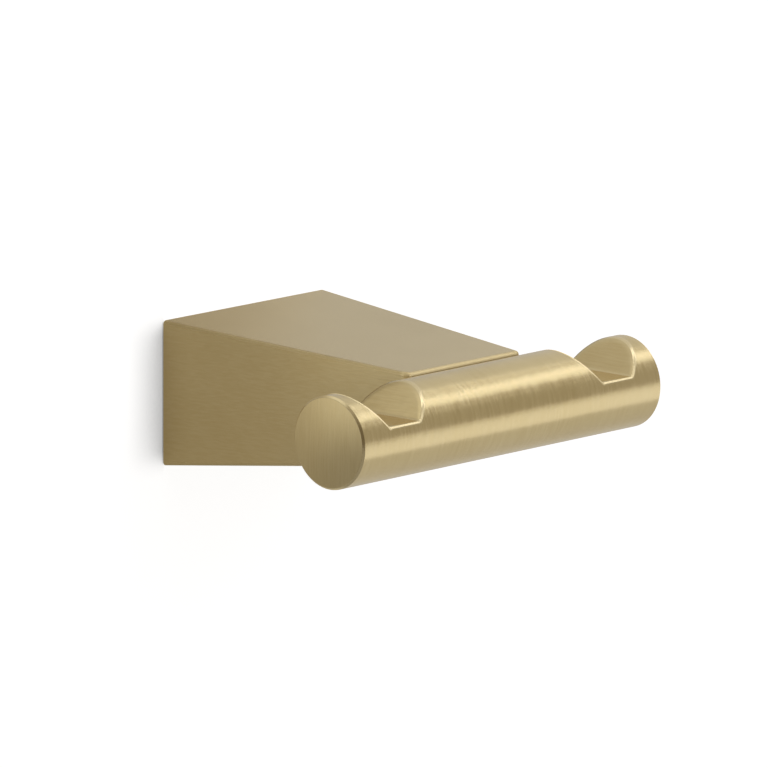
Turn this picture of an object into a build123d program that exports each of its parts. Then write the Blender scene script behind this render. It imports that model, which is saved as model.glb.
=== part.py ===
# A double robe hook for a wall: a tapered hollow post that carries a round bar across its front end.
# Each end of the bar has a flat-bottomed notch that a robe's loop drops into.
# Millimetres. +Z is up, +X runs along the bar, and the wall is the plane Y = 0, with the hook on its -Y side.
# The origin is the middle of the post's wall end, which is also the middle of the wall bracket.

from build123d import *
from math import radians, sqrt, tan
import os

# Bar
bar_diameter = 20.0
bar_length = 95.5
bar_end_crown = 0.4
bar_end_edge = 0.5
bar_axis_reach = 68.3
bar_axis_rise = 1.65
notch_centre_from_end = 14.0
notch_floor_width = 9.4
notch_depth = 6.7
notch_side_angle = 38.5
notch_corner = 1.2
notch_rim_edge = 0.3

# Post
wall_end_width = 50.8
wall_end_height = 31.7
front_end_width = 35.2
front_end_margin = 0.05
bar_seat_depth = 5.8
seat_gap = 0.05
seat_edge = 0.2
post_wall = 2.8
post_nose = 6.5
post_edge = 0.8
front_edge = 1.0
rim_edge = 0.25
hollow_corner = 2.0

# Screw and spring washer that hold the bar in its seat
screw_diameter = 6.0
screw_length = 16.0
screw_point_edge = 0.6
screw_head_diameter = 10.0
screw_head_height = 6.0
screw_head_edge = 0.6
screw_key_width = 5.0
screw_key_depth = 3.0
screw_hole_clearance = 0.2
thread_gap = 0.05
tapped_hole_spare = 1.5
drill_point_angle = 118.0
washer_outer = 9.9
washer_bore_clearance = 0.1
washer_thickness = 1.6
washer_split = 0.9
washer_split_angle = 20.0

# Wall bracket: a length of drawn bar with a groove along its top and bottom edges
bracket_width = 34.0
bracket_height = 18.0
bracket_thickness = 8.0
bracket_edge = 0.4
groove_depth = 2.0
groove_setback = 4.5
wall_hole_diameter = 4.5
wall_hole_spacing = 20.0
wall_head_diameter = 9.0
wall_head_angle = 90.0

# Rib inside the post's top wall that hangs in the bracket's groove
rib_width = 24.0
rib_gap = 0.05
rib_tip_flat = 0.6

# Grub screw in the post's bottom wall, and the boss that it is tapped through
grub_diameter = 5.0
grub_offset = 0.3
grub_point_gap = 0.02
grub_point_flat = 1.0
grub_recess = 0.3
grub_foot_edge = 0.4
grub_key_width = 2.5
grub_key_depth = 2.5
boss_wall = 2.0
boss_clearance = 0.4

bar_radius = bar_diameter / 2
seat_radius = bar_radius + seat_gap
front_end_height = bar_diameter + 2 * front_end_margin
front_to_axis = bar_radius - bar_seat_depth
post_length = bar_axis_reach - front_to_axis
seat_floor = bar_axis_reach - seat_radius
hollow_length = seat_floor - post_nose

# The nose's inner face, where the washer sits, and the underside of the screw's head
nose_back = Plane((0, -hollow_length, bar_axis_rise), x_dir=(1, 0, 0), z_dir=(0, 1, 0))
under_head = nose_back.offset(washer_thickness)

# How far each face leans in for every millimetre away from the wall
top_slope = (wall_end_height / 2 - bar_axis_rise - front_end_height / 2) / post_length
bottom_slope = (wall_end_height / 2 + bar_axis_rise - front_end_height / 2) / post_length
side_slope = (wall_end_width - front_end_width) / 2 / post_length


def draw_side_view(length, inset):
    """The post seen from its side, from the wall out to a length, drawn in by an inset above and below."""
    Polygon(
        (0, -wall_end_height / 2 + inset),
        (0, wall_end_height / 2 - inset),
        (-length, wall_end_height / 2 - inset - top_slope * length),
        (-length, -wall_end_height / 2 + inset + bottom_slope * length),
        align=None,
    )


def draw_plan(length, inset):
    """The post seen from above, from the wall out to a length, drawn in by an inset at each side."""
    half_width = wall_end_width / 2 - inset
    Polygon(
        (half_width, 0),
        (-half_width, 0),
        (-half_width + side_slope * length, -length),
        (half_width - side_slope * length, -length),
        align=None,
    )


# The bracket's grooves, and the grub screw, which leans on the front flank of the lower one
groove_apex = bracket_height / 2 - groove_depth
grub_radius = grub_diameter / 2
grub_reach = groove_setback + grub_offset
grub_tip = -groove_apex - grub_offset - grub_point_gap - grub_point_flat / 2
grub_shoulder = grub_tip - (grub_radius - grub_point_flat / 2)
grub_foot = -wall_end_height / 2 + bottom_slope * grub_reach + grub_recess

# The post's hollow, with walls of even thickness round it
with BuildPart() as hollow:
    with BuildSketch(Plane.YZ):
        draw_side_view(hollow_length, post_wall)
    extrude(amount=wall_end_width, both=True)
    with BuildSketch(Plane.XY):
        draw_plan(hollow_length, post_wall)
    extrude(amount=wall_end_height, both=True, mode=Mode.INTERSECT)
    mouth = hollow.faces().sort_by(Axis.Y)[-1]
    fillet(hollow.edges().filter_by(lambda edge: edge not in mouth.edges()), hollow_corner)

# Post, a casting that is open at the wall
with BuildPart() as post:
    with BuildSketch(Plane.YZ):
        draw_side_view(post_length, 0)
    extrude(amount=wall_end_width, both=True)
    with BuildSketch(Plane.XY):
        draw_plan(post_length, 0)
    extrude(amount=wall_end_height, both=True, mode=Mode.INTERSECT)
    end_faces = post.faces().filter_by(Axis.Y)
    fillet(post.edges().filter_by(lambda edge: edge not in end_faces.edges()), post_edge)
    fillet(post.faces().sort_by(Axis.Y)[0].edges(), front_edge)
    chamfer(post.faces().sort_by(Axis.Y)[-1].edges(), rim_edge)
    add(hollow.part, mode=Mode.SUBTRACT)

    # Seat for the bar, with its rims broken
    seat_rim_half = sqrt(seat_radius**2 - front_to_axis**2)
    with BuildSketch(Plane.YZ):
        with Locations((-bar_axis_reach, bar_axis_rise)):
            Circle(seat_radius)
            Polygon(
                (front_to_axis, -seat_rim_half - seat_edge),
                (front_to_axis + seat_edge, -seat_rim_half),
                (front_to_axis + seat_edge, seat_rim_half),
                (front_to_axis, seat_rim_half + seat_edge),
                align=None,
            )
    extrude(amount=wall_end_width, both=True, mode=Mode.SUBTRACT)

    # Rib that hangs in the bracket's upper groove
    rib_tip = groove_apex + rib_gap * sqrt(2) + rib_tip_flat / 2
    rib_shoulder = groove_apex + rib_gap * sqrt(2) + groove_depth
    rib_root = wall_end_height / 2 - top_slope * groove_setback - post_wall / 2
    with BuildSketch(Plane.YZ.offset(-rib_width / 2)):
        with BuildLine():
            Polyline(
                (-groove_setback - groove_depth, rib_root),
                (-groove_setback - groove_depth, rib_shoulder),
                (-groove_setback - rib_tip_flat / 2, rib_tip),
                (-groove_setback + rib_tip_flat / 2, rib_tip),
                (-groove_setback + groove_depth, rib_shoulder),
                (-groove_setback + groove_depth, rib_root),
                close=True,
            )
        make_face()
    extrude(amount=rib_width)

    # Boss with the tapped hole for the grub screw
    boss_radius = grub_radius + boss_wall
    boss_top = -bracket_height / 2 - groove_depth - boss_clearance
    boss_foot = -wall_end_height / 2 + bottom_slope * (grub_reach + boss_radius) + post_wall / 3
    with BuildSketch(Plane.XY.offset(boss_foot)):
        with Locations((0, -grub_reach)):
            Circle(boss_radius)
    extrude(amount=boss_top - boss_foot)
    with BuildSketch(Plane.XY.offset(grub_tip)):
        with Locations((0, -grub_reach)):
            Circle(grub_radius + thread_gap)
    extrude(amount=-wall_end_height / 2, mode=Mode.SUBTRACT)

    # Hole through the nose for the bar's screw
    with BuildSketch(nose_back):
        Circle(screw_diameter / 2 + screw_hole_clearance)
    extrude(amount=-post_nose - bar_radius, mode=Mode.SUBTRACT)

post.part.label = "post"

# Bar, turned with faintly domed ends, with a notch milled across near each end and a tapped hole in its back
with BuildPart() as bar:
    bar_back = bar_radius - bar_axis_reach
    dome_foot = bar_length / 2 - bar_end_crown
    with BuildSketch(Plane.XY.offset(bar_axis_rise)):
        with BuildLine():
            Line((-bar_length / 2, -bar_axis_reach), (bar_length / 2, -bar_axis_reach))
            Line((bar_end_edge - dome_foot, bar_back), (dome_foot - bar_end_edge, bar_back))
            for side in (-1, 1):
                dome = TangentArc(
                    (side * bar_length / 2, -bar_axis_reach),
                    (side * dome_foot, bar_back - bar_end_edge),
                    tangent=(0, 1),
                )
                Line(dome @ 1, (side * (dome_foot - bar_end_edge), bar_back))
        make_face()
    revolve(axis=Axis((0, -bar_axis_reach, bar_axis_rise), (1, 0, 0)))

    # Notches, and the small bright edge all round each of them
    notch_floor = bar_axis_rise + bar_radius - notch_depth
    cutter_height = 2 * notch_depth
    cutter_width = notch_floor_width + 2 * cutter_height * tan(radians(notch_side_angle))
    notch_centre = bar_length / 2 - notch_centre_from_end
    with BuildSketch(Plane.XZ.offset(bar_axis_reach)) as notches:
        with Locations((-notch_centre, notch_floor), (notch_centre, notch_floor)):
            Trapezoid(
                cutter_width,
                cutter_height,
                90 - notch_side_angle,
                rotation=180,
                align=(Align.CENTER, Align.MAX),
            )
        fillet(notches.vertices().group_by(Axis.Z)[0], notch_corner)
    extrude(amount=bar_diameter, both=True, mode=Mode.SUBTRACT)
    round_edges = bar.faces().filter_by(GeomType.CYLINDER).sort_by(SortBy.AREA)[-1].edges()
    chamfer(round_edges.filter_by(GeomType.CIRCLE, reverse=True), notch_rim_edge)

    # Tapped hole with the cone that a drill leaves at its bottom
    screw_reach = screw_length - washer_thickness - post_nose - seat_gap
    hole_depth = screw_reach + tapped_hole_spare
    tap_radius = screw_diameter / 2 + thread_gap
    drill_cone = tap_radius / tan(radians(drill_point_angle / 2))
    with BuildSketch(Plane.XY.offset(bar_axis_rise)):
        Polygon(
            (0, bar_back + bar_radius),
            (tap_radius, bar_back + bar_radius),
            (tap_radius, bar_back - hole_depth),
            (0, bar_back - hole_depth - drill_cone),
            align=None,
        )
    revolve(axis=Axis((0, 0, bar_axis_rise), (0, 1, 0)), mode=Mode.SUBTRACT)

bar.part.label = "bar"

# Socket head screw from inside the post into the back of the bar
with BuildPart() as bar_screw:
    with BuildSketch(under_head):
        Circle(screw_head_diameter / 2)
    extrude(amount=screw_head_height)
    chamfer(bar_screw.edges().group_by(Axis.Y)[-1], screw_head_edge)
    with BuildSketch(under_head):
        Circle(screw_diameter / 2)
    extrude(amount=-screw_length)
    chamfer(bar_screw.edges().group_by(Axis.Y)[0], screw_point_edge)
    with BuildSketch(under_head.offset(screw_head_height)):
        RegularPolygon(screw_key_width / 2, 6, major_radius=False)
    extrude(amount=-screw_key_depth, mode=Mode.SUBTRACT)

bar_screw.part.label = "bar_screw"

# Spring washer, squeezed flat, with its slanted split
with BuildPart() as spring_washer:
    with BuildSketch(nose_back):
        Circle(washer_outer / 2)
        Circle(screw_diameter / 2 + washer_bore_clearance, mode=Mode.SUBTRACT)
    extrude(amount=washer_thickness)
    slant = washer_thickness * tan(radians(washer_split_angle))
    with BuildSketch(Plane((0, 0, bar_axis_rise), x_dir=(1, 0, 0), z_dir=(0, 0, 1))):
        Polygon(
            (-washer_split / 2 - slant / 2, -hollow_length),
            (washer_split / 2 - slant / 2, -hollow_length),
            (washer_split / 2 + slant / 2, -hollow_length + washer_thickness),
            (-washer_split / 2 + slant / 2, -hollow_length + washer_thickness),
            align=None,
        )
    extrude(amount=washer_outer, mode=Mode.SUBTRACT)

spring_washer.part.label = "spring_washer"

# Wall bracket, with two countersunk holes for the wall screws
with BuildPart() as wall_bracket:
    with BuildSketch(Plane.YZ.offset(-bracket_width / 2)) as bracket_section:
        with Locations((-bracket_thickness / 2, 0)):
            Rectangle(bracket_thickness, bracket_height)
        chamfer(bracket_section.vertices().group_by(Axis.Y)[0], bracket_edge)
        for side in (-1, 1):
            with BuildLine():
                Polyline(
                    (-groove_setback - groove_depth, side * bracket_height / 2),
                    (-groove_setback, side * groove_apex),
                    (-groove_setback + groove_depth, side * bracket_height / 2),
                    close=True,
                )
            make_face(mode=Mode.SUBTRACT)
    extrude(amount=bracket_width)
    chamfer(wall_bracket.faces().sort_by(Axis.Y)[0].edges().filter_by(Axis.Z), bracket_edge)
    with Locations(Plane((0, -bracket_thickness, 0), x_dir=(1, 0, 0), z_dir=(0, -1, 0))):
        with GridLocations(wall_hole_spacing, 1, 2, 1):
            CounterSinkHole(
                wall_hole_diameter / 2, wall_head_diameter / 2, counter_sink_angle=wall_head_angle
            )

wall_bracket.part.label = "wall_bracket"

# Grub screw with a cone point, standing upright in its boss
with BuildPart() as grub_screw:
    with BuildSketch(Plane.XZ.offset(grub_reach)):
        Polygon(
            (0, grub_foot),
            (grub_radius - grub_foot_edge, grub_foot),
            (grub_radius, grub_foot + grub_foot_edge),
            (grub_radius, grub_shoulder),
            (grub_point_flat / 2, grub_tip),
            (0, grub_tip),
            align=None,
        )
    revolve(axis=Axis((0, -grub_reach, 0), (0, 0, 1)))
    with BuildSketch(Plane.XY.offset(grub_foot)):
        with Locations((0, -grub_reach)):
            RegularPolygon(grub_key_width / 2, 6, major_radius=False)
    extrude(amount=grub_key_depth, mode=Mode.SUBTRACT)

grub_screw.part.label = "grub_screw"

os.makedirs("parts", exist_ok=True)
export_step(post.part, "parts/post.step")
export_step(bar.part, "parts/bar.step")
export_step(bar_screw.part, "parts/bar_screw.step")
export_step(spring_washer.part, "parts/spring_washer.step")
export_step(wall_bracket.part, "parts/wall_bracket.step")
export_step(grub_screw.part, "parts/grub_screw.step")
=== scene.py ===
# Looks of the double robe hook: brushed brass on the post and bar, zinc on the bracket,
# steel on the screws.
# Metres. The wall is the plane y = 0 and the hook stands out from it towards -y, with z up.

import bpy
import math
import numpy as np
from mathutils import Matrix, Vector


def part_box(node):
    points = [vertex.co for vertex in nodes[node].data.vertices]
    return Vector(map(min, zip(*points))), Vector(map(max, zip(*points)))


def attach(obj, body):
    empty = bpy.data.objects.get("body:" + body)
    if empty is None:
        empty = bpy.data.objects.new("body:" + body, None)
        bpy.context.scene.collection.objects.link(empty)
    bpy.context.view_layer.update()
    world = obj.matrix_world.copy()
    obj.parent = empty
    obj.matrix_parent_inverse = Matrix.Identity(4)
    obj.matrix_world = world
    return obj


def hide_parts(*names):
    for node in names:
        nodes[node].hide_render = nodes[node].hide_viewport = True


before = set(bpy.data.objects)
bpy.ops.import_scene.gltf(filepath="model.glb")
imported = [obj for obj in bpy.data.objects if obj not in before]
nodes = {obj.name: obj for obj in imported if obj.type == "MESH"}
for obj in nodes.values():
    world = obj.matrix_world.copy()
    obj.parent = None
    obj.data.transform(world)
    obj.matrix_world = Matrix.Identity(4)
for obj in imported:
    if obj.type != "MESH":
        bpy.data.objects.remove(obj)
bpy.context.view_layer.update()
mm = 0.001
perMetre = 1000
print("frame loaded:", ", ".join(sorted(nodes)))


class Wire:
    # One output socket of a shader tree. Sums and products of wires and numbers add Math nodes.

    def __init__(self, tree, socket=None):
        self.tree = tree
        self.socket = socket

    def node(self, kind, settings=None, values=None, out=0):
        # settings come first, then each input is given a value or a link, and one output is wrapped
        made = self.tree.nodes.new(kind)
        for name, value in (settings or {}).items():
            setattr(made, name, value)
        for place, value in (values or {}).items():
            if isinstance(value, Wire):
                self.tree.links.new(value.socket, made.inputs[place])
            else:
                made.inputs[place].default_value = value
        return Wire(self.tree, made.outputs[out])

    def calc(self, operation, *others):
        values = dict(enumerate((self, *others)))
        return self.node("ShaderNodeMath", {"operation": operation}, values)

    def __add__(self, other):
        return self.calc("ADD", other)

    def __radd__(self, other):
        return self.calc("ADD", other)

    def __sub__(self, other):
        return self.calc("SUBTRACT", other)

    def __rsub__(self, other):
        return (self * -1.0).calc("ADD", other)

    def __mul__(self, other):
        return self.calc("MULTIPLY", other)

    def __abs__(self):
        return self.calc("ABSOLUTE")

    def least(self, other):
        return self.calc("MINIMUM", other)

    def most(self, other):
        return self.calc("MAXIMUM", other)

    def rise(self, low, high):
        # 0 below low, 1 above high and smooth between them
        return self.node(
            "ShaderNodeMapRange",
            {"interpolation_type": "SMOOTHSTEP"},
            {"Value": self, "From Min": low, "From Max": high},
        )

    def stretch(self, x, y, z):
        # a vector with its three parts made longer or shorter
        return self.node("ShaderNodeVectorMath", {"operation": "MULTIPLY"}, {0: self, 1: (x, y, z)})

    def unit(self):
        # a vector made one long
        return self.node("ShaderNodeVectorMath", {"operation": "NORMALIZE"}, {0: self})

    def vector(self, x, y, z):
        return self.node("ShaderNodeCombineXYZ", {}, {"X": x, "Y": y, "Z": z})

    def noise(self, detail=3.0, rough=0.55):
        values = {"Vector": self, "Scale": 1.0, "Detail": detail, "Roughness": rough}
        return self.node("ShaderNodeTexNoise", {}, values)

    def blend(self, low, high):
        # a number mixed from low to high by this wire
        return self.node("ShaderNodeMix", {}, {"Factor": self, "A": low, "B": high})

    def turn(self, low, high):
        # a vector mixed from low to high by this wire
        values = {"Factor": self, 4: low, 5: high}
        return self.node("ShaderNodeMix", {"data_type": "VECTOR"}, values, out=1)

    def tint(self, low, high):
        # a colour mixed from low to high by this wire
        values = {"Factor": self, 6: low, 7: high}
        return self.node("ShaderNodeMix", {"data_type": "RGBA"}, values, out=2)


def newMaterial(name):
    made = bpy.data.materials.new(name)
    made.use_nodes = True
    made.node_tree.nodes.clear()
    return made, Wire(made.node_tree)


def closeMaterial(wire, shader):
    end = wire.tree.nodes.new("ShaderNodeOutputMaterial")
    wire.tree.links.new(shader.socket, end.inputs["Surface"])


def readPlace(wire):
    # the point in millimetres, as a vector and as x, y and z
    place = wire.node("ShaderNodeTexCoord", out="Object").stretch(perMetre, perMetre, perMetre)
    values = {"Vector": place}
    return place, [place.node("ShaderNodeSeparateXYZ", {}, values, out=axis) for axis in "XYZ"]


lineNoise = {
    "detail": 4.0,
    "rough": 0.6,
    "turn": (0.3, 0.7),
    "slowDetail": 2.0,
}


def brushLines(place, look, across):
    # noise drawn out along one way: close together where across is 1, long where it is 0
    close = look["linesPerMm"]
    long = look["lineStretch"]
    scales = [close if side else long for side in across]
    lines = place.stretch(*scales).noise(lineNoise["detail"], lineNoise["rough"])
    return lines.rise(*lineNoise["turn"])


def slowClouds(place, look):
    # slow patches of the same size every way
    each = look["cloudsPerMm"]
    return place.stretch(each, each, each).noise(lineNoise["slowDetail"])


def metal(wire, look, grain, cloud, wear, wave=0.0, facing=None, rough=0.0):
    # grain, cloud and wear run from 0 to 1: brush lines, slow change of tone and rubbed edges,
    # where wear on the post also carries painted light on its front strip, and wave is a slow
    # unevenness left by the brushing belt
    tone = grain * look["grainTone"] + cloud * look["cloudTone"] + wear * look["wearTone"]
    shade = tone + (0.5 - 0.5 * look["grainTone"] - 0.5 * look["cloudTone"])
    gloss = grain * look["grainRough"] + cloud * look["cloudRough"] + rough
    hills = wave * look["waveDepth"] + grain * look["grooveDepth"]
    relief = {"Strength": 1.0, "Distance": mm, "Height": hills}
    if facing:
        relief["Normal"] = facing
    height = wire.node("ShaderNodeBump", {}, relief)
    return wire.node(
        "ShaderNodeBsdfPrincipled",
        {},
        {
            "Base Color": shade.tint((*look["dull"], 1.0), (*look["bright"], 1.0)),
            "Metallic": 1.0,
            "Roughness": gloss + look["roughness"],
            "Normal": height,
        },
    )


# Brass, brushed with a belt and lacquered
brassLook = {
    "dull": (0.640, 0.511, 0.252),
    "bright": (0.800, 0.680, 0.410),
    "roughness": 0.18,
    "grainTone": 0.26,
    "cloudTone": 0.40,
    "wearTone": 0.60,
    "grainRough": 0.05,
    "cloudRough": 0.04,
    "grooveDepth": 0.0045,
    "waveDepth": 0.070,
    "wavesPerMm": 0.30,
    "linesPerMm": 2.6,
    "lineStretch": 0.15,
    "cloudsPerMm": 0.08,
}

# Bar, lengths in millimetres. A pair is where a change of finish starts and is complete.
barShape = {
    "radius": 10.0,
    "axisY": -68.3,
    "axisZ": 1.65,
    "endDome": 113.0,
    "notchX": 33.75,
    "notchFloorZ": 4.95,
    "notchHalfFloor": 4.7,
    "notchSlope": 0.795,
    "notchCosine": 0.783,
    "turnedRadius": (9.88, 9.97),
    "endX": (47.25, 47.3),
    "endWearX": (46.7, 47.0),
    "rimWearReach": (0.40, 0.60),
    "rimWearRadius": (9.6, 9.75),
    "litSide": (4.0, 4.5),
    "litAside": (-0.3, -0.1),
    "litPull": 6.0,
    "litY": -0.79,
    "litZ": 0.613,
    "roundedRadius": (8.7, 10.2),
    "roundedX": (46.2, 46.6),
    "roundedPart": 0.5,
}


def barFinish():
    # turned round the bar, brushed up and down on its ends and along y in the notches
    material, wire = newMaterial("barBrass")
    place, (x, y, z) = readPlace(wire)
    outY = y - barShape["axisY"]
    outZ = z - barShape["axisZ"]
    radius = (outY * outY + outZ * outZ).calc("SQRT")
    onRound = radius.rise(*barShape["turnedRadius"])
    onEnd = abs(x).rise(*barShape["endX"])
    turned = brushLines(place, brassLook, (1, 0, 0))
    endLines = brushLines(place, brassLook, (0, 1, 0))
    notchLines = brushLines(place, brassLook, (1, 0, 1))
    grain = onEnd.blend(onRound.blend(notchLines, turned), endLines)
    # how far a point lies outside the nearer notch
    aboveFloor = z - barShape["notchFloorZ"]
    aside = abs(abs(x) - barShape["notchX"]) - barShape["notchHalfFloor"]
    aside = aside - aboveFloor * barShape["notchSlope"]
    fromNotch = (aside * barShape["notchCosine"]).most(aboveFloor * -1.0)
    nearNotch = 1.0 - fromNotch.rise(*barShape["rimWearReach"])
    rimWear = nearNotch * radius.rise(*barShape["rimWearRadius"])
    endWear = abs(x).rise(*barShape["endWearX"]) * (1.0 - onEnd)
    wear = endWear.most(rimWear)
    # a thin band at each notch's left rim is turned so that it mirrors the key lamp to the camera
    onLeft = (x.calc("SIGN") * barShape["notchX"] - x).rise(*barShape["litSide"])
    lit = rimWear * (onLeft * aside.rise(*barShape["litAside"])) * barShape["litPull"]
    perRadius = 1.0 / barShape["radius"]
    outward = wire.vector(
        0.0,
        outY * perRadius + lit * barShape["litY"],
        outZ * perRadius + lit * barShape["litZ"],
    )
    # the notch rims look rounded over a little, and the end faces look like shallow domes
    inner = 1.0 - abs(x).rise(*barShape["roundedX"])
    rounded = radius.rise(*barShape["roundedRadius"]) * inner * barShape["roundedPart"]
    soft = rounded.turn(wire.node("ShaderNodeNewGeometry", out="Normal"), outward)
    perDome = 1.0 / barShape["endDome"]
    dome = wire.vector(x.calc("SIGN"), outY * perDome, outZ * perDome)
    facing = onEnd.turn(soft, dome).unit()
    close = brassLook["wavesPerMm"]
    wave = place.stretch(close, 0.5 * close, 0.5 * close).noise(lineNoise["slowDetail"])
    wave = wave * (1.0 - onEnd)
    cloud = slowClouds(place, brassLook)
    closeMaterial(wire, metal(wire, brassLook, grain, cloud, wear, wave, facing))
    return material


# Post, lengths in millimetres. Pairs as for the bar, and a reach is a distance from the wall.
postShape = {
    "wallHalfWidth": 25.4,
    "wallHalfHeight": 15.85,
    "sideLean": 0.1217,
    "topLean": 0.0647,
    "bottomLean": 0.1162,
    "edgeWearDepth": (0.1, 0.6),
    "edgeWear": 0.3,
    "edgeRoughDepth": (0.3, 0.9),
    "edgeRough": 0.25,
    "cornerReach": (62.4, 62.8),
    "cornerX": (16.6, 17.0),
    "cornerRough": 0.35,
    "hollowDepth": (2.2, 2.6),
    "hollowReach": (52.5, 53.0),
    "rimReach": (0.4, 0.6),
    "castPerMm": 2.0,
    "castDetail": 4.0,
    "castTurn": (0.3, 0.7),
    "castRough": 0.35,
    "faceTurn": (-0.1, 0.1),
    "crispDepth": (0.8, 1.0),
    "crispReach": (61.5, 62.5),
    "crispPart": 0.8,
    "frontReach": (63.1, 63.7),
    "frontRough": 0.14,
    "frontPaintedLightZ": (11.1, 11.4),
}


def postFinish():
    # brushed along y outside, rough as cast inside
    material, wire = newMaterial("postBrass")
    place, (x, y, z) = readPlace(wire)
    reach = y * -1.0
    offRim = reach.rise(*postShape["rimReach"])
    fromSide = postShape["wallHalfWidth"] + y * postShape["sideLean"] - abs(x)
    fromTop = postShape["wallHalfHeight"] + y * postShape["topLean"] - z
    fromBottom = postShape["wallHalfHeight"] + y * postShape["bottomLean"] + z
    fromFace = fromTop.least(fromBottom)
    fromEdge = fromSide.most(fromFace)
    # the edges and upright front corners miss the belt's shine, and the hollow is as cast
    edgeWear = (1.0 - fromEdge.rise(*postShape["edgeWearDepth"])) * postShape["edgeWear"]
    dullEdge = (1.0 - fromEdge.rise(*postShape["edgeRoughDepth"])) * postShape["edgeRough"]
    atCorner = reach.rise(*postShape["cornerReach"]) * abs(x).rise(*postShape["cornerX"])
    dullCorner = atCorner * postShape["cornerRough"]
    inside = fromSide.least(fromFace).rise(*postShape["hollowDepth"]) * offRim
    inside = inside * (1.0 - reach.rise(*postShape["hollowReach"]))
    each = postShape["castPerMm"]
    castGrain = place.stretch(each, each, each).noise(postShape["castDetail"])
    castGrain = castGrain.rise(*postShape["castTurn"])
    grain = inside.blend(brushLines(place, brassLook, (1, 0, 1)), castGrain)
    # the long edges look crisp: each half of their rounding faces the way of its own flat face
    onFace = (fromSide - fromFace).rise(*postShape["faceTurn"])
    sideways = 1.0 - onFace
    lean = sideways * postShape["sideLean"] + onFace * postShape["topLean"]
    crisp = wire.vector(x.calc("SIGN") * sideways, lean * -1.0, z.calc("SIGN") * onFace)
    onEdge = (1.0 - fromEdge.rise(*postShape["crispDepth"])) * offRim
    onEdge = onEdge * (1.0 - reach.rise(*postShape["crispReach"]))
    faces = wire.node("ShaderNodeNewGeometry", out="Normal")
    facing = (onEdge * postShape["crispPart"]).turn(faces, crisp).unit()
    # the rounded front edge is duller than the faces, and from just above the bar seat down it
    # has painted light: a lighter colour that lifts the shade of the gap at the bar seat
    frontStrip = reach.rise(*postShape["frontReach"])
    dull = dullCorner.most(dullEdge).most(inside * postShape["castRough"])
    dull = dull.most(frontStrip * postShape["frontRough"])
    # painted light: the front strip's colour is lifted below the top of its rounding, over the
    # shaded seat gap
    wear = edgeWear.most(frontStrip * (1.0 - z.rise(*postShape["frontPaintedLightZ"])))
    cloud = slowClouds(place, brassLook)
    closeMaterial(wire, metal(wire, brassLook, grain, cloud, wear, facing=facing, rough=dull))
    return material


# Bracket, drawn zinc bar with a dull skin
zincLook = {
    "dull": (0.40, 0.41, 0.42),
    "bright": (0.58, 0.59, 0.60),
    "roughness": 0.42,
    "grainTone": 0.30,
    "cloudTone": 0.40,
    "wearTone": 0.40,
    "grainRough": 0.08,
    "cloudRough": 0.10,
    "grooveDepth": 0.010,
    "waveDepth": 0.0,
    "linesPerMm": 3.0,
    "lineStretch": 0.15,
    "cloudsPerMm": 0.25,
    "wearTurn": (0.6, 0.8),
}

# Screws and washer, plated steel
steelLook = {
    "dull": (0.34, 0.34, 0.35),
    "bright": (0.60, 0.60, 0.61),
    "roughness": 0.28,
    "grainTone": 0.30,
    "cloudTone": 0.30,
    "wearTone": 0.40,
    "grainRough": 0.08,
    "cloudRough": 0.08,
    "grooveDepth": 0.006,
    "waveDepth": 0.0,
    "linesPerMm": 6.0,
    "lineStretch": 0.8,
    "cloudsPerMm": 0.4,
    "wearTurn": (0.6, 0.8),
}


def plainFinish(name, look):
    # lines along x with slow patches
    material, wire = newMaterial(name)
    place, _ = readPlace(wire)
    close = look["linesPerMm"]
    grain = place.stretch(look["lineStretch"], close, close).noise()
    cloud = slowClouds(place, look)
    wear = cloud.rise(*look["wearTurn"])
    closeMaterial(wire, metal(wire, look, grain, cloud, wear))
    return material


def paint(node, material):
    # every slot of a node's object takes the material
    for slot in nodes[node].material_slots:
        slot.material = material


paint("bar", barFinish())
paint("post", postFinish())
paint("wall_bracket", plainFinish("bracketZinc", zincLook))
steel = plainFinish("screwSteel", steelLook)
paint("spring_washer", steel)
print("finishes on")

# Socket screw that holds the bar, and grub screw with a cone point, in millimetres.
# start is the middle of the socket's end, aim the way the point faces.
barScrew = {
    "node": "bar_screw",
    "start": (0.0, -44.15, 1.65),
    "aim": (0.0, -1.0, 0.0),
    "keyWidth": 5.0,
    "keyDepth": 3.0,
    "keyMouth": 3.05,
    "head": ((0.0, 4.4), (0.6, 5.0), (6.0, 5.0)),
    "threadFrom": 6.0,
    "length": 22.0,
    "radius": 3.0,
    "pitch": 1.0,
    "startRadius": 3.0,
    "runOut": (7.0, 8.5),
    "pointRadius": 2.4,
}
grubScrew = {
    "node": "grub_screw",
    "start": (0.0, -4.8, -14.992),
    "aim": (0.0, 0.0, 1.0),
    "keyWidth": 2.5,
    "keyDepth": 2.5,
    "keyMouth": 1.5,
    "head": (),
    "threadFrom": 0.0,
    "length": 7.172,
    "radius": 2.5,
    "pitch": 0.8,
    "startRadius": 2.1,
    "runOut": (-2.0, -1.0),
    "pointRadius": 0.5,
}
threadMesh = {
    "aroundSteps": 72,
    "stepsPerPitch": 12,
    "depthPerPitch": 0.6134,
    "crestToRoot": 0.3125,
    "rootSide": 0.375,
    "sharpAngle": 0.4,
}


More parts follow.
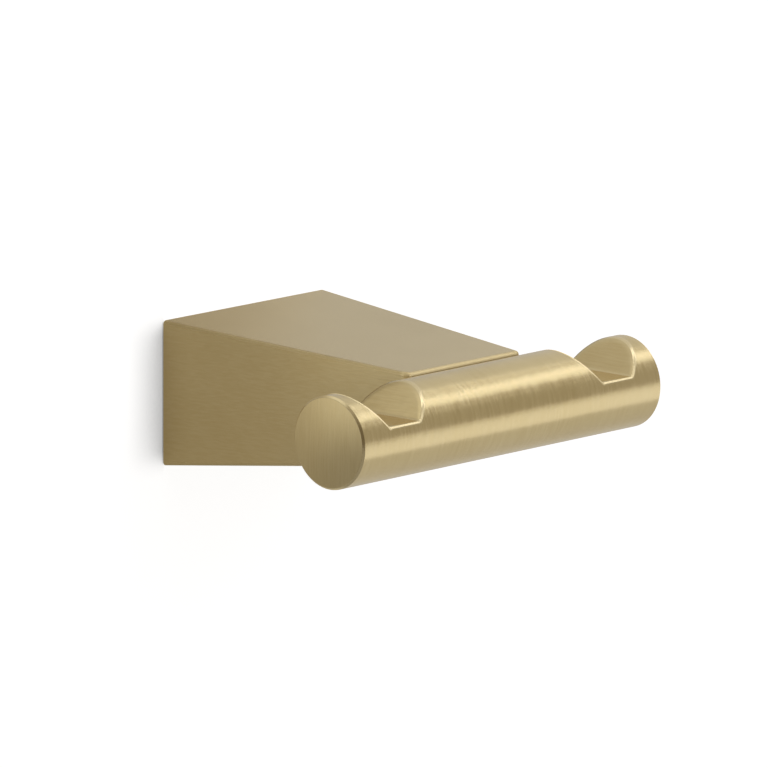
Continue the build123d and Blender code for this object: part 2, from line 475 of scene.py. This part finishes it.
def threadedScrew(piece):
    # Point at s along the screw and angle a round it: start + aim s + (u cos a + v sin a) r(s, a).
    # In the socket r = (w / 2) / cos(a mod 60 - 30), a hexagon of width w.
    # On the thread r = R - D (1 - h), where
    # h = clip((0.375 - |frac(s / pitch - a / 360) - 0.5|) / 0.3125, 0, 1)
    # runs from 0 at the root to 1 at the crest, and 45 degree cones limit r at both ends.
    around = threadMesh["aroundSteps"]
    angle = np.linspace(0.0, 2.0 * np.pi, around, endpoint=False)
    hexagon = piece["keyWidth"] / 2.0 / np.cos(np.mod(angle, np.pi / 3.0) - np.pi / 6.0)
    pitches = (piece["length"] - piece["threadFrom"]) / piece["pitch"]
    steps = int(pitches * threadMesh["stepsPerPitch"]) + 1
    along = np.linspace(piece["threadFrom"], piece["length"], steps)[:, None]
    phase = np.mod(along / piece["pitch"] - angle[None, :] / (2.0 * np.pi), 1.0)
    height = (threadMesh["rootSide"] - np.abs(phase - 0.5)) / threadMesh["crestToRoot"]
    fadeFrom, fadeTo = piece["runOut"]
    plain = 1.0 - np.clip((along - fadeFrom) / (fadeTo - fadeFrom), 0.0, 1.0)
    height = np.maximum(np.clip(height, 0.0, 1.0), plain)
    thread = piece["radius"] - piece["pitch"] * threadMesh["depthPerPitch"] * (1.0 - height)
    startCone = piece["startRadius"] + along - piece["threadFrom"]
    pointCone = piece["pointRadius"] + piece["length"] - along
    thread = np.minimum(thread, np.minimum(startCone, pointCone))
    # rows of the socket and head come before those of the thread
    mouthStep = piece["keyMouth"] - piece["keyWidth"] / 2.0 / math.cos(np.pi / 6.0)
    rowsAlong = [piece["keyDepth"], mouthStep, 0.0]
    rowsRadius = [hexagon, hexagon, np.full(around, piece["keyMouth"])]
    for place, radius in piece["head"]:
        rowsAlong.append(place)
        rowsRadius.append(np.full(around, radius))
    allAlong = np.concatenate([rowsAlong, along[:, 0]])[:, None, None]
    allRadius = np.vstack([*rowsRadius, thread])[:, :, None]
    aim = np.array(piece["aim"])
    across = np.array((1.0, 0.0, 0.0))
    upward = np.cross(aim, across)
    ring = across * np.cos(angle)[:, None] + upward * np.sin(angle)[:, None]
    points = np.array(piece["start"]) + allAlong * aim + allRadius * ring
    rows = len(points)
    points = points.reshape(-1, 3)
    rowStart = np.arange(rows - 1)[:, None] * around
    first = rowStart + np.arange(around)[None, :]
    second = rowStart + np.mod(np.arange(around) + 1, around)[None, :]
    quads = np.stack([first, second, second + around, first + around], axis=-1).reshape(-1, 4)
    floor = list(range(around))[::-1]
    point = list(range((rows - 1) * around, rows * around))
    name = piece["node"] + "_threaded"
    mesh = bpy.data.meshes.new(name)
    mesh.from_pydata((points * mm).tolist(), [], quads.tolist() + [floor, point])
    mesh.polygons.foreach_set("use_smooth", np.ones(len(mesh.polygons), bool))
    mesh.set_sharp_from_angle(angle=threadMesh["sharpAngle"])
    mesh.materials.append(steel)
    made = bpy.data.objects.new(name, mesh)
    bpy.context.scene.collection.objects.link(made)
    low, high = (np.array(corner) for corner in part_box(piece["node"]))
    below = (low - points.min(0) * mm).max()
    above = (points.max(0) * mm - high).max()
    past = round(max(below, above) / mm, 4)
    print(name, len(mesh.polygons), "faces,", past, "mm past its solid's box")
    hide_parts(piece["node"])
    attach(made, "root")


for piece in (barScrew, grubScrew):
    threadedScrew(piece)
print("threaded screws made")

# Studio: a white wall with an opening behind the post, a pale floor far below, soft lamps, and a
# soft grey sky that is darker on the room's left. The sheets' sizes and shadeReach are in metres,
# and the other mirror and shade lengths are in millimetres.
stageLook = {
    "wallHalfWidth": 0.9,
    "wallHalfHeight": 0.7,
    "wallBehind": 0.0001,
    "openingHalfWidth": 0.0235,
    "openingHalfHeight": 0.0145,
    "floorHalf": 3.0,
    "floorHeight": -0.6,
    "white": (1.0, 1.0, 1.0, 1.0),
    "black": (0.0, 0.0, 0.0, 1.0),
    "colour": 0.35,
    "glow": 0.905,
    "skyGrey": (0.42, 0.383, 0.325, 1.0),
    "skyDark": (0.16, 0.130, 0.090, 1.0),
    "darkSide": (-0.66, -0.72, -0.19),
    "darkTurn": (0.3, 0.9),
    "mirrorClose": 0.26,
    "mirrorNearRight": 0.40,
    "mirrorLowLeft": 0.18,
    "mirrorLowRight": 0.45,
    "mirrorUpLeft": 0.70,
    "mirrorUpRight": 0.50,
    "mirrorCentreX": -20.0,
    "mirrorTurnNear": (-25.0, 35.0),
    "mirrorTurnReach": (50.0, 125.0),
    "mirrorRightSquash": 0.35,
    "mirrorTurnX": (-80.0, -40.0),
    "mirrorTurnZ": (-32.0, 7.0),
    "mirrorWarmClose": (1.0, 0.88, 0.68, 1.0),
    "mirrorWarmLowLeft": (1.0, 0.935, 0.835, 1.0),
    "mirrorWarmUpLeft": (1.0, 0.975, 0.90, 1.0),
    "mirrorWarmRight": (1.0, 0.97, 0.93, 1.0),
    "shadeSamples": 8,
    "shadeReach": 0.012,
    "shadeDepth": 1.12,
    "shadeTurnX": (-25.3, -24.6),
    "shadeTurnZ": (12.0, 19.0),
}


def stageMaterial(name):
    # matt grey that lifts to a white background for the camera, glows in six soft tones where metal
    # reflects it, has a close shadow on the post's left, and is see-through from behind
    material, wire = newMaterial(name)
    look = stageLook
    seen = wire.node("ShaderNodeLightPath", out="Is Camera Ray")
    mirrored = wire.node("ShaderNodeLightPath", out="Is Glossy Ray")
    _, (x, _, z) = readPlace(wire)
    # what the metal sees: two tones near the post, left and right, and four further out
    toRight = x.rise(*look["mirrorTurnX"])
    toUp = z.rise(*look["mirrorTurnZ"])
    low = toRight.blend(look["mirrorLowLeft"], look["mirrorLowRight"])
    high = toRight.blend(look["mirrorUpLeft"], look["mirrorUpRight"])
    aside = (x - look["mirrorCentreX"]) * (1.0 - toRight * look["mirrorRightSquash"])
    reach = (aside * aside + z * z).calc("SQRT").rise(*look["mirrorTurnReach"])
    toNear = x.rise(*look["mirrorTurnNear"])
    close = toNear.blend(look["mirrorClose"], look["mirrorNearRight"])
    mirrorTone = reach.blend(close, toUp.blend(low, high))
    left = toUp.tint(look["mirrorWarmLowLeft"], look["mirrorWarmUpLeft"])
    far = toRight.tint(left, look["mirrorWarmRight"])
    warm = reach.most(toNear).tint(look["mirrorWarmClose"], far)
    tone = mirrored.tint(look["white"], warm)
    # the close shadow, from how closed in a point is
    free = wire.node(
        "ShaderNodeAmbientOcclusion",
        {"samples": look["shadeSamples"]},
        {"Distance": look["shadeReach"]},
        out="AO",
    )
    onLeft = (1.0 - x.rise(*look["shadeTurnX"])) * (1.0 - abs(z).rise(*look["shadeTurnZ"]))
    shade = 1.0 - onLeft * (1.0 - free) * look["shadeDepth"]
    colour = (shade * look["colour"]).tint(look["black"], look["white"])
    matt = wire.node("ShaderNodeBsdfDiffuse", {}, {"Color": colour})
    light = seen * shade * look["glow"] + mirrored * mirrorTone
    glow = wire.node("ShaderNodeEmission", {}, {"Color": tone, "Strength": light})
    front = wire.node("ShaderNodeAddShader", {}, {0: matt, 1: glow})
    behind = wire.node("ShaderNodeNewGeometry", out="Backfacing")
    clear = wire.node("ShaderNodeBsdfTransparent")
    closeMaterial(wire, wire.node("ShaderNodeMixShader", {}, {0: behind, 1: front, 2: clear}))
    return material


def stageSheet(name, outer, inner, turn):
    # a flat frame between two rectangles: each corner is the half size times its sign, turned
    # into place
    signs = np.array([(-1, -1), (1, -1), (1, 1), (-1, 1)], float)
    flat = np.vstack([signs * outer, signs * inner])
    points = np.array([turn(a, b) for a, b in flat])
    sides = [(k, (k + 1) % 4, (k + 1) % 4 + 4, k + 4) for k in range(4)]
    mesh = bpy.data.meshes.new(name)
    mesh.from_pydata(points.tolist(), [], sides)
    made = bpy.data.objects.new(name, mesh)
    bpy.context.scene.collection.objects.link(made)
    mesh.materials.append(stageMaterial(name))


stageSheet(
    "wall",
    (stageLook["wallHalfWidth"], stageLook["wallHalfHeight"]),
    (stageLook["openingHalfWidth"], stageLook["openingHalfHeight"]),
    lambda a, b: (a, stageLook["wallBehind"], b),
)
stageSheet(
    "floor",
    (stageLook["floorHalf"], stageLook["floorHalf"]),
    (0.0, 0.0),
    lambda a, b: (a, b, stageLook["floorHeight"]),
)

# Soft lamps, each as its azimuth and elevation round the hook in degrees, its distance and the
# two sides of its rectangle in metres, and its power in watts
lampColour = (1.0, 1.02, 1.10)
lamps = {
    "key": {"turn": (65, 36), "distance": 0.9, "size": (0.42, 0.16), "power": 0.203},
    "keySide": {"turn": (82, 43), "distance": 0.9, "size": (0.56, 0.16), "power": 0.113},
    "low": {"turn": (50, -15), "distance": 0.9, "size": (0.42, 0.40), "power": 0.224},
    "front": {"turn": (0, 20), "distance": 1.1, "size": (0.6, 0.6), "power": 1.47},
    "frontRight": {"turn": (30, 40), "distance": 0.9, "size": (0.5, 0.5), "power": 0.43},
    "top": {"turn": (20, 78), "distance": 1.1, "size": (0.6, 0.6), "power": 1.47},
    "topRight": {"turn": (88, 58), "distance": 0.9, "size": (0.4, 0.3), "power": 0.49},
}


def awayFrom(turn, lift):
    # the direction at an azimuth and elevation in radians, from the hook outwards
    level = math.cos(lift)
    return Vector((math.sin(turn) * level, -math.cos(turn) * level, math.sin(lift)))


def addLamp(name, lamp):
    light = bpy.data.lights.new(name, "AREA")
    light.shape = "RECTANGLE"
    light.size, light.size_y = lamp["size"]
    light.energy = lamp["power"]
    light.color = lampColour
    made = bpy.data.objects.new(name, light)
    bpy.context.scene.collection.objects.link(made)
    away = awayFrom(*map(math.radians, lamp["turn"]))
    made.location = away * lamp["distance"]
    made.rotation_euler = away.to_track_quat("Z", "Y").to_euler()


for name, lamp in lamps.items():
    addLamp(name, lamp)


def makeSky():
    # soft grey light that is darker from the room's left, and white for the camera
    world = bpy.data.worlds.new("sky")
    bpy.context.scene.world = world
    world.use_nodes = True
    world.node_tree.nodes.clear()
    wire = Wire(world.node_tree)
    seen = wire.node("ShaderNodeLightPath", out="Is Camera Ray")
    toward = wire.node("ShaderNodeTexCoord", out="Generated")
    side = {0: toward, 1: stageLook["darkSide"]}
    aimed = wire.node("ShaderNodeVectorMath", {"operation": "DOT_PRODUCT"}, side, out="Value")
    room = aimed.rise(*stageLook["darkTurn"]).tint(stageLook["skyGrey"], stageLook["skyDark"])
    sky = wire.node("ShaderNodeBackground", {}, {"Color": seen.tint(room, stageLook["white"])})
    end = world.node_tree.nodes.new("ShaderNodeOutputWorld")
    world.node_tree.links.new(sky.socket, end.inputs["Surface"])


makeSky()
print("studio lit by", len(lamps), "lamps")

# Camera at the photograph's angle, far off with a long lens: its place is in millimetres, and the
# clip limits are in metres
cameraPlace = {
    "azimuth": -47.77713,
    "elevation": 10.97740,
    "roll": 0.24116,
    "focalPixels": 11395.214,
    "imagePixels": 768,
    "sensor": 36.0,
    "place": (-1765.404, -1642.990, 466.311),
    "clip": (0.1, 20.0),
}


def addCamera(settings):
    turn = math.radians(settings["azimuth"])
    lift = math.radians(settings["elevation"])
    roll = math.radians(settings["roll"])
    back = awayFrom(turn, lift)
    right = Vector((math.cos(turn), math.sin(turn), 0.0))
    up = back.cross(right)
    tiltedRight = right * math.cos(roll) + up * math.sin(roll)
    tiltedUp = up * math.cos(roll) - right * math.sin(roll)
    data = bpy.data.cameras.new("camera")
    data.sensor_width = settings["sensor"]
    data.lens = settings["focalPixels"] * settings["sensor"] / settings["imagePixels"]
    data.clip_start, data.clip_end = settings["clip"]
    made = bpy.data.objects.new("camera", data)
    bpy.context.scene.collection.objects.link(made)
    turned = Matrix((tiltedRight, tiltedUp, back)).transposed().to_4x4()
    made.matrix_world = Matrix.Translation(Vector(settings["place"]) * mm) @ turned
    bpy.context.scene.camera = made


addCamera(cameraPlace)
bpy.context.scene.view_settings.view_transform = "Standard"
print("camera placed")
